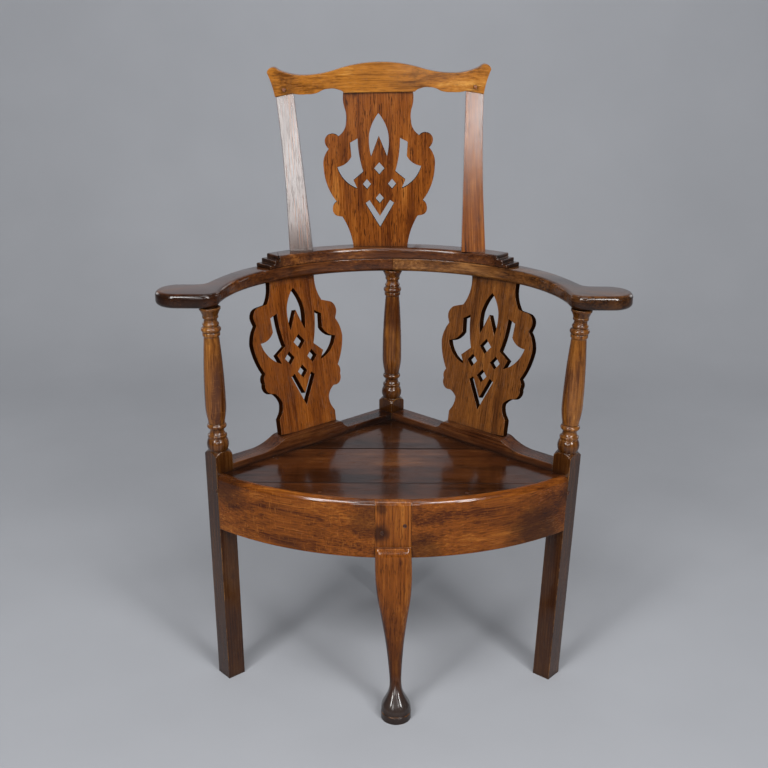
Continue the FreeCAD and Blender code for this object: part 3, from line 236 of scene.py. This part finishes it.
    def roughness(self, gloss):
        rough = self.swing(self.stains, 0.30, self.swing(self.streaks, 0.22, gloss))
        rough = self.math("MULTIPLY_ADD", self.hollow_wax_and_shade, 0.35, rough, clamp=True)
        if self.dull is not None:
            rough = self.math("MULTIPLY_ADD", self.dull, 0.5, rough, clamp=True)
        return rough

    def coat_weight(self, coat, polish):
        """The coat of wax: none where dull, and polish on the edges that look upwards."""
        if self.dull is not None:
            return self.times(self.flip(self.dull), coat)
        if polish:
            rubbed = self.ramp(self.part(self.smooth, "Z"), 0.12, 0.40)
            return self.math("MULTIPLY_ADD", rubbed, polish - coat, coat)
        return coat


def oak(name, tone, way, shift, gloss=0.34, specular=0.3, coat=0.15, coat_rough=0.2, polish=0.0,
        figure=0.5, fine=1.0, mottle=0.5, vessels=0.3, fleck=0.0, wear=0.6, wax_and_shade=0.7, worm=0.0,
        rounding=0.0022, sawn=None, low_dark=None, ashen=None, pad_dark=0.0, joints=(), spots=()):
    """A material of old waxed oak.

    tone is (dark, middle, light), way is (direction of the grain, a direction across it) and shift
    moves the piece through the pattern.
    gloss is the roughness under the wax, coat and coat_rough are the wax, and polish is the coat of
    the edges that look upwards.
    figure, fine, mottle, vessels and fleck are the strength of the rings and streaks, the fineness
    of the streaks, the strength of the patches, of the short dark dashes and of the pale rays.
    wear, wax_and_shade and worm are the strength of the paler edges, of the dark wax and painted shade
    in corners and hollows, and of the worm holes.
    rounding is the radius that sharp edges seem to have.
    sawn is the direction that a flat piece faces: its other sides are dark sawn wood.
    low_dark is (from, to, share): heights between which the wood darkens downwards.
    ashen is (from, to): heights between which the wood turns bare and grey downwards.
    pad_dark is how dark the upright edges of an arm's pad are.
    joints are (place along Y, strength) where grime fills a thin joint between boards.
    spots are (centre, radius, share) of dark stains and of painted shade.
    """
    material = bpy.data.materials.new(name)
    material.use_nodes = True
    g = Oak(material.node_tree, tone, way, shift, rounding)
    g.lay_grain(figure, fine, mottle, vessels, fleck)
    if sawn:
        g.cut_sides(sawn)
    if low_dark:
        g.darken_below(*low_dark)
    if ashen:
        g.bare_below(*ashen)
    for joint in joints:
        g.fill_joint(*joint)
    for spot in spots:
        g.add_spot(*spot)
    if pad_dark:
        g.handle_pads(pad_dark)
    g.wear_and_shade(wear, wax_and_shade)
    normal = g.carve_relief(worm)
    shader = g.node("BsdfPrincipled", Base_Color=g.body, Roughness=g.roughness(gloss), IOR=1.5,
                    Normal=normal, Specular_IOR_Level=specular, Coat_Roughness=coat_rough,
                    Coat_Weight=g.coat_weight(coat, polish), Coat_Normal=g.smooth)
    if g.dull is not None:
        g.feed(shader.inputs["Specular IOR Level"], g.times(g.flip(g.dull), specular))
    g.node("OutputMaterial", Surface=shader.outputs[0])
    return material


# Tones: dark, middle and light of each group of pieces
WARM = (srgb(64, 26, 4), srgb(118, 62, 14), srgb(172, 106, 38))
TURNED = (srgb(70, 35, 11), srgb(128, 78, 30), srgb(180, 125, 60))
ARM = (srgb(46, 24, 10), srgb(100, 61, 27), srgb(152, 105, 58))
GOLDEN = (srgb(94, 52, 12), srgb(158, 98, 30), srgb(198, 142, 66))
BROWN = (srgb(42, 20, 8), srgb(80, 42, 16), srgb(140, 86, 38))
DARK = (srgb(30, 12, 5), srgb(70, 36, 16), srgb(110, 66, 32))
DEEP = (srgb(24, 10, 4), srgb(50, 25, 11), srgb(84, 48, 24))
STRAIGHT = (srgb(76, 34, 7), srgb(124, 66, 18), srgb(166, 104, 42))
FADED = (srgb(64, 33, 11), srgb(110, 64, 24), srgb(150, 99, 46))
RAW = (srgb(88, 62, 40), srgb(124, 92, 62), srgb(150, 118, 84))

# Ways: the direction of the grain, and a direction across it
UP = ((0, 0, 1), (0, 1, 0))
ACROSS = ((1, 0, 0), (0, 0, 1))
BACKWARDS = ((0, 1, 0), (0, 0, 1))
LEFT_RAIL = ((math.cos(RAIL_SLOPE), math.sin(RAIL_SLOPE), 0), (0, 0, 1))
RIGHT_RAIL = ((-math.cos(RAIL_SLOPE), math.sin(RAIL_SLOPE), 0), (0, 0, 1))
LEFT_BOW = ((1, -0.40, 0), (0, 0, 1))
RIGHT_BOW = ((1, 0.40, 0), (0, 0, 1))
LEFT_ARM = ((1, 0.62, 0), (0, 0, 1))
RIGHT_ARM = ((1, -0.62, 0), (0, 0, 1))
LEFT_SPLAT = ((-0.1197, 0.2774, 0.9533), (-0.6432, 0.7097, -0.2874))
RIGHT_SPLAT = ((0.1197, 0.2774, 0.9533), (-0.6432, -0.7097, 0.2874))
UPPER_SPLAT = ((-0.0209, 0.0349, 0.9992), (0.0, 0.9994, -0.0349))
STILE = ((-0.054, 0.113, 0.992), (0, 1, 0))
BACK_RAIL = ((1, 0, 0.021), (0, 0, 1))

# What the pieces of one group share
SIDE_POSTS = dict(gloss=0.26, specular=0.1, coat=0.55, coat_rough=0.09, polish=1.0, mottle=0.8,
                  wax_and_shade=0.95, fleck=0.10, low_dark=(0.45, 0.54, 0.80))
SHOES = dict(gloss=0.28, coat=0.4, coat_rough=0.12, mottle=1.1, wear=0.9, wax_and_shade=1.0)
FRONT_RAILS = dict(gloss=0.22, specular=0.10, coat=0.3, coat_rough=0.13, polish=1.0, fine=1.5,
                   vessels=0.5, wear=0.8, wax_and_shade=0.9)
BOARDS = dict(coat=0.35, coat_rough=0.12, figure=0.12, mottle=1.1, vessels=0.15, wear=0.0, wax_and_shade=1.0,
              rounding=0.0004)
ARMS = dict(gloss=0.22, specular=0.15, coat=0.4, coat_rough=0.1, polish=1.0)
LOWER_SPLATS = dict(gloss=0.25, figure=0.4, fine=1.9, mottle=0.3, vessels=0.75, rounding=0.0012)
STILES = dict(coat_rough=0.17, wear=0.9, rounding=0.0012)

# Joints between the seat boards; dark stains around the pegs of the front leg and at the ends of
# the front rails; painted shade at the stepped ends of the block and on the column necks under the arms
REAR_JOINT = (SIDE_Y + 0.104, 0.85)
FRONT_JOINT = (SIDE_Y - 0.058, 0.35)
LEG_SPOTS = (((-0.022, -0.205, 0.372), 0.022, 0.85), ((-0.022, -0.205, 0.420), 0.016, 0.7))
LEFT_RAIL_SPOTS = (((-0.30, -0.10, 0.42), 0.06, 0.7), ((-0.04, -0.205, 0.40), 0.05, 0.5),
                   ((-0.18, -0.16, 0.335), 0.03, 0.5))
RIGHT_RAIL_SPOTS = (((0.26, -0.12, 0.345), 0.09, 0.8), ((0.05, -0.205, 0.33), 0.05, 0.6),
                    ((0.31, -0.08, 0.40), 0.04, 0.7))
# Painted shade in the grooves of the block's stepped ends
BLOCK_END_SHADE = (((-0.242, 0.119, 0.781), 0.045, 0.8), ((0.226, 0.135, 0.781), 0.045, 0.8))
# Painted shade on the column necks just under the arm pads
LEFT_NECK_SHADE = ((-SIDE_X, SIDE_Y, 0.745), 0.055, 0.55)
RIGHT_NECK_SHADE = ((SIDE_X, SIDE_Y, 0.745), 0.055, 0.55)

FINISH = {
    "left_post": oak("wood_left_post", TURNED, UP, 1.3, spots=(LEFT_NECK_SHADE,), **SIDE_POSTS),
    "right_post": oak("wood_right_post", TURNED, UP, 4.1, spots=(RIGHT_NECK_SHADE,), **SIDE_POSTS),
    "rear_post": oak("wood_rear_post", TURNED, UP, 2.2, gloss=0.26, specular=0.1, coat=0.3,
                     coat_rough=0.09, polish=1.0, mottle=0.8, wax_and_shade=0.95, low_dark=(0.45, 0.56, 0.85)),
    "front_leg": oak("wood_front_leg", WARM, UP, 7.7, gloss=0.22, specular=0.1, coat=0.3,
                     coat_rough=0.15, polish=1.0, vessels=0.5, worm=1.0,
                     low_dark=(0.03, 0.28, 0.80), ashen=(0.05, 0.10), spots=LEG_SPOTS),
    "rear_rail_left": oak("wood_rear_rail_left", BROWN, LEFT_RAIL, 0.4),
    "rear_rail_right": oak("wood_rear_rail_right", BROWN, RIGHT_RAIL, 3.4),
    "shoe_left": oak("wood_shoe_left", DARK, LEFT_RAIL, 5.1, **SHOES),
    "shoe_right": oak("wood_shoe_right", DARK, RIGHT_RAIL, 6.3, **SHOES),
    "front_rail_left": oak("wood_front_rail_left", WARM, LEFT_BOW, 1.9, mottle=0.3, fleck=0.25,
                           spots=LEFT_RAIL_SPOTS, **FRONT_RAILS),
    "front_rail_right": oak("wood_front_rail_right", WARM, RIGHT_BOW, 8.2, mottle=0.35, fleck=0.08,
                            spots=RIGHT_RAIL_SPOTS, **FRONT_RAILS),
    "seat_board_rear": oak("wood_board_rear", DEEP, ACROSS, 0.9, gloss=0.17, joints=(REAR_JOINT,),
                           **BOARDS),
    "seat_board_middle": oak("wood_board_middle", DARK, ACROSS, 2.8, gloss=0.15,
                             joints=(REAR_JOINT, FRONT_JOINT), **BOARDS),
    "seat_board_front": oak("wood_board_front", DARK, ACROSS, 4.6, gloss=0.17, joints=(FRONT_JOINT,),
                            **BOARDS),
    "cleat_left": oak("wood_cleat_left", RAW, LEFT_RAIL, 1.1, gloss=0.6),
    "cleat_right": oak("wood_cleat_right", RAW, RIGHT_RAIL, 1.6, gloss=0.6),
    "arm_left": oak("wood_arm_left", BROWN, LEFT_ARM, 3.3, mottle=0.8, wear=0.35, pad_dark=0.85,
                    **ARMS),
    "arm_right": oak("wood_arm_right", ARM, RIGHT_ARM, 9.3, mottle=1.1, vessels=0.4, wear=0.5,
                     pad_dark=0.6, **ARMS),
    "crest_block": oak("wood_crest", BROWN, ACROSS, 6.6, gloss=0.20, specular=0.15, coat=0.5,
                       coat_rough=0.1, polish=1.0, mottle=0.6, wax_and_shade=1.0, rounding=0.0036,
                       spots=BLOCK_END_SHADE),
    "splat_lower_left": oak("wood_splat_left", STRAIGHT, LEFT_SPLAT, 2.4, sawn=LEFT_SPLAT[1],
                            **LOWER_SPLATS),
    "splat_lower_right": oak("wood_splat_right", FADED, RIGHT_SPLAT, 5.9, sawn=RIGHT_SPLAT[1],
                             **LOWER_SPLATS),
    "splat_upper": oak("wood_splat_upper", STRAIGHT, UPPER_SPLAT, 8.8, gloss=0.25, specular=0.12,
                       coat=0.05, figure=0.6, fine=2.3, vessels=0.9, rounding=0.0012,
                       sawn=UPPER_SPLAT[1]),
    "stile_left": oak("wood_stile_left", BROWN, STILE, 4.9, gloss=0.15, specular=0.8, coat=1.0,
                      **STILES),
    "stile_right": oak("wood_stile_right", WARM, STILE, 6.9, gloss=0.18, specular=0.5, coat=0.9,
                       **STILES),
    "top_rail": oak("wood_top_rail", GOLDEN, BACK_RAIL, 7.1, gloss=0.26, specular=0.15,
                    coat_rough=0.12, mottle=0.7, vessels=0.35, wear=0.9),
    "crest_dowels": oak("wood_dowels", RAW, UP, 2.7, gloss=0.6),
    "top_rail_pegs": oak("wood_ear_pegs", WARM, BACKWARDS, 2.0, gloss=0.3, wear=0.4),
}
peg_wood = oak("wood_pegs", DARK, BACKWARDS, 2.0, gloss=0.42, wear=0.4)
for name in ("left_post_pegs", "right_post_pegs", "rear_post_pegs", "front_leg_pegs", "seat_pegs"):
    FINISH[name] = peg_wood


def smooth_by_angle(limit):
    """A node group that shades smooth, except across edges sharper than limit degrees."""
    group = bpy.data.node_groups.new("smooth by angle", "GeometryNodeTree")
    for direction in ("INPUT", "OUTPUT"):
        group.interface.new_socket("Geometry", in_out=direction, socket_type="NodeSocketGeometry")
    start = group.nodes.new("NodeGroupInput")
    finish = group.nodes.new("NodeGroupOutput")
    faces = group.nodes.new("GeometryNodeSetShadeSmooth")
    faces.domain = "FACE"
    faces.inputs["Shade Smooth"].default_value = True
    angle = group.nodes.new("GeometryNodeInputMeshEdgeAngle")
    sharp = group.nodes.new("FunctionNodeCompare")
    sharp.data_type = "FLOAT"
    sharp.operation = "GREATER_THAN"
    sharp.inputs[1].default_value = math.radians(limit)
    edges = group.nodes.new("GeometryNodeSetShadeSmooth")
    edges.domain = "EDGE"
    edges.inputs["Shade Smooth"].default_value = False
    group.links.new(start.outputs[0], faces.inputs["Geometry"])
    group.links.new(faces.outputs[0], edges.inputs["Geometry"])
    group.links.new(angle.outputs["Unsigned Angle"], sharp.inputs[0])
    group.links.new(sharp.outputs[0], edges.inputs["Selection"])
    group.links.new(edges.outputs[0], finish.inputs[0])
    return group


# Rounding of the sharp edges of the pieces that hands have worn most, in metres
WORN = {"top_rail": 0.0032, "crest_block": 0.0024, "stile_left": 0.0016, "stile_right": 0.0016}
WORN_ANGLE = 40
WELD_REACH = 0.00002
SMOOTH = smooth_by_angle(30)

for name, piece in NODES.items():
    piece.data.materials.clear()
    piece.data.materials.append(FINISH[name])
    custom = piece.data.attributes.get("custom_normal")
    if custom:
        piece.data.attributes.remove(custom)
    piece.modifiers.new("joined corners", "WELD").merge_threshold = WELD_REACH
    if name in WORN:
        bevel = piece.modifiers.new("worn edges", "BEVEL")
        bevel.width = WORN[name]
        bevel.segments = 3
        bevel.limit_method = "ANGLE"
        bevel.angle_limit = math.radians(WORN_ANGLE)
        # The block's short step edges would stop the whole bevel
        bevel.use_clamp_overlap = name != "crest_block"
    piece.modifiers.new("smooth shading", "NODES").node_group = SMOOTH
    if name in WORN:
        piece.modifiers.new("flat faces stay flat", "WEIGHTED_NORMAL").keep_sharp = True

# Camera of the photograph: focal length in its pixels, place in metres and angles in degrees
PHOTO_WIDTH = 768
FOCAL_LENGTH = 1122.4
SENSOR = 36
CAMERA_PLACE = (-0.0273, -1.9807, 1.2641)
DOWN, TURN, ROLL = 19.14, -0.3, 0.37
camera_data = bpy.data.cameras.new("camera")
camera_data.sensor_width = SENSOR
camera_data.lens = FOCAL_LENGTH * SENSOR / PHOTO_WIDTH
camera = bpy.data.objects.new("camera", camera_data)
aimed = Euler((math.radians(90 - DOWN), 0, math.radians(TURN)), "XYZ").to_matrix()
rolled = aimed @ Matrix.Rotation(math.radians(ROLL), 3, "Z")
camera.matrix_world = Matrix.Translation(CAMERA_PLACE) @ rolled.to_4x4()
bpy.context.scene.collection.objects.link(camera)
bpy.context.scene.camera = camera

# Pale floor that runs up into a backdrop, in metres
FLOOR_FRONT = -6.0
SWEEP_START = 1.6
SWEEP_RADIUS = 1.1
SWEEP_STEPS = 16
BACKDROP_TOP = 6.0
FLOOR_HALF_WIDTH = 7.0
profile = [(FLOOR_FRONT, 0.0), (SWEEP_START, 0.0)]
for step in range(1, SWEEP_STEPS + 1):
    angle = math.radians(90 * step / SWEEP_STEPS)
    profile.append((SWEEP_START + SWEEP_RADIUS * math.sin(angle), SWEEP_RADIUS * (1 - math.cos(angle))))
profile.append((SWEEP_START + SWEEP_RADIUS, BACKDROP_TOP))
count = len(profile)
corners = [(x, y, z) for x in (-FLOOR_HALF_WIDTH, FLOOR_HALF_WIDTH) for y, z in profile]
floor_mesh = bpy.data.meshes.new("floor")
floor_mesh.from_pydata(corners, [], [(i, i + count, i + count + 1, i + 1) for i in range(count - 1)])
for face in floor_mesh.polygons:
    face.use_smooth = True
floor = bpy.data.objects.new("floor", floor_mesh)
bpy.context.scene.collection.objects.link(floor)
paper = bpy.data.materials.new("backdrop_paper")
paper.use_nodes = True
g = Graph(paper.node_tree)
mottle = g.noise(g.node("TexCoord").outputs["Object"], 3.0, 4.0)
shade = g.mix(mottle, srgb(163, 165, 170), srgb(172, 174, 179))
surface = g.node("BsdfPrincipled", Base_Color=shade, Roughness=0.9)
surface.inputs["Specular IOR Level"].default_value = 0.15
g.node("OutputMaterial", Surface=surface.outputs[0])
floor_mesh.materials.append(paper)

# Soft studio light
world = bpy.data.worlds.new("studio")
bpy.context.scene.world = world
world.use_nodes = True
g = Graph(world.node_tree)
sky = g.node("Background", Color=srgb(200, 203, 208), Strength=0.12)
g.node("OutputWorld", Surface=sky.outputs[0])

# Name, place, aim, width and height in metres, and watts
LAMPS = (
    ("left_softbox", (-1.25, -2.1, 2.6), (0, 0, 0.5), 1.1, 0.8, 45),
    ("right_softbox", (1.25, -2.1, 2.6), (0, 0, 0.5), 1.1, 0.8, 45),
    ("left_edge_light", (-1.75, -2.6, 1.7), (0, 0, 0.55), 0.40, 0.55, 20),
    ("right_edge_light", (1.75, -2.6, 1.7), (0, 0, 0.55), 0.40, 0.55, 20),
    ("stile_panel", (-0.52, -3.0, 1.28), (-0.15, 0, 0.9), 0.6, 0.72, 9),
    ("right_panel", (0.46, -3.0, 1.50), (0.15, 0, 1.0), 0.4, 0.4, 5),
    ("overhead", (0.0, -1.0, 3.0), (0, -0.25, 0.2), 1.2, 0.8, 10),
    ("left_rear_fill", (-2.7, 1.9, 1.6), (0, 0.1, 0.6), 1.2, 1.2, 7),
    ("right_rear_fill", (2.7, 1.9, 1.6), (0, 0.1, 0.6), 1.2, 1.2, 7),
    ("backdrop_glow", (0.0, 0.5, 2.5), (0, 2.7, 1.5), 1.2, 0.6, 17),
)
for name, place, aim, width, height, watts in LAMPS:
    data = bpy.data.lights.new(name, "AREA")
    data.shape = "RECTANGLE"
    data.size = width
    data.size_y = height
    data.energy = watts
    light = bpy.data.objects.new(name, data)
    light.location = place
    light.rotation_euler = (Vector(aim) - Vector(place)).to_track_quat("-Z", "Y").to_euler()
    bpy.context.scene.collection.objects.link(light)

bpy.context.scene.view_settings.view_transform = "Standard"
